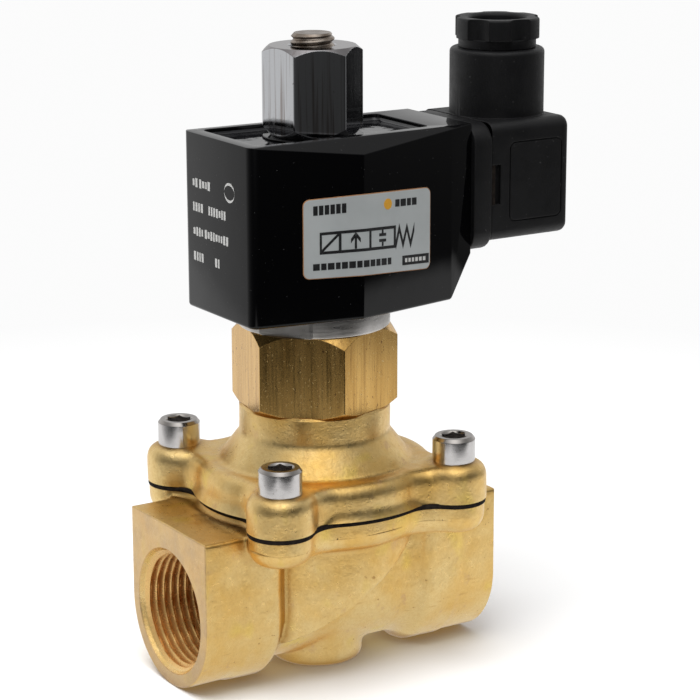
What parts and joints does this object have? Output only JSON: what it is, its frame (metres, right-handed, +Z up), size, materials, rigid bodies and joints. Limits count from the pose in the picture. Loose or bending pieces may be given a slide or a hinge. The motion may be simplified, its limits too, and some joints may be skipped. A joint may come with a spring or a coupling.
{
  "type": "solenoid valve",
  "caption": "Forged brass two-port solenoid valve with threaded ports, a bolted bonnet, a hexagonal union, an encapsulated coil and a square cable plug.",
  "frame": {"origin": "centre of the flat face of the bottom boss, on the stem axis, 16.8 mm below the flow axis", "axes": "+X along the flow towards the outlet port and the cable plug, +Z up the stem, and -Y towards the side that carries the label"},
  "size_m": [0.0954, 0.0574, 0.139],
  "materials": {
    "forged_brass": "bead-blasted forging, satin",
    "machined_brass": "drawn and turned, semi-bright",
    "bright_stainless": "bright stainless",
    "magnetic_steel": "turned grey steel",
    "chrome_plate": "bright chrome plate",
    "copper": "enamelled copper",
    "gloss_black_resin": "high-gloss moulded resin",
    "black_plastic": "finely textured moulding",
    "pale_nylon": "natural nylon",
    "black_rubber": "nitrile rubber",
    "silver_label": "satin silver foil"
  },
  "bodies": {
    "valve": {"valve_body": "forged_brass", "diaphragm": "black_rubber", "bonnet": "forged_brass", "bonnet_screw_1": "bright_stainless", "bonnet_screw_2": "bright_stainless", "bonnet_screw_3": "bright_stainless", "bonnet_screw_4": "bright_stainless", "union_nut": "machined_brass", "tube_o_ring": "black_rubber", "guide_tube": "bright_stainless", "fixed_core": "bright_stainless", "shading_ring": "copper", "armature_spring": "bright_stainless", "return_spring": "bright_stainless", "collar_ring": "magnetic_steel", "coil_washer": "black_plastic", "coil_nut": "chrome_plate"},
    "armature": {"armature": "magnetic_steel", "pilot_seal": "black_rubber"},
    "disc": {"lift_cage": "bright_stainless", "disc_upper": "bright_stainless", "disc_lower": "machined_brass", "main_seal": "black_rubber"},
    "coil": {"coil_housing": "gloss_black_resin", "potting": "gloss_black_resin", "bobbin": "pale_nylon", "winding": "copper", "yoke_frame": "magnetic_steel", "label_plate": "silver_label", "terminal_base": "black_plastic", "blade_line": "machined_brass", "contact_line": "machined_brass", "blade_neutral": "machined_brass", "contact_neutral": "machined_brass", "blade_earth": "machined_brass", "contact_earth": "machined_brass", "connector_gasket": "black_rubber", "connector_housing": "black_plastic", "contact_block": "black_plastic", "connector_screw": "bright_stainless", "gland_seal": "black_rubber"},
    "gland_ring": {"gland_ring": "pale_nylon"},
    "gland_nut": {"gland_nut": "black_plastic"}
  },
  "joints": [
    {"name": "armature_lift", "type": "slide", "parent": "valve", "child": "armature", "axis": [0, 0, 1], "range_m": [0, 0.006], "deforming": ["armature_spring"]},
    {"name": "disc_lift", "type": "slide", "parent": "valve", "child": "disc", "axis": [0, 0, 1], "range_m": [0, 0.004], "deforming": ["return_spring", "diaphragm"]},
    {"name": "coil_swivel", "type": "hinge", "parent": "valve", "child": "coil", "pos_m": [0, 0, 0.0988], "axis": [0, 0, 1], "continuous": true},
    {"name": "gland_travel", "type": "slide", "parent": "coil", "child": "gland_ring", "axis": [0, 0, 1], "range_m": [0, 0.0045]},
    {"name": "gland_turn", "type": "hinge", "parent": "gland_ring", "child": "gland_nut", "pos_m": [0.0479, 0, 0.1368], "axis": [0, 0, 1], "range_deg": [0, 1080]}
  ],
  "couplings": [
    {"joint": "disc_lift", "follows": "armature_lift", "ratio": 0.666},
    {"joint": "gland_travel", "follows": "gland_turn", "m_per_rad": 0.000238}
  ]
}
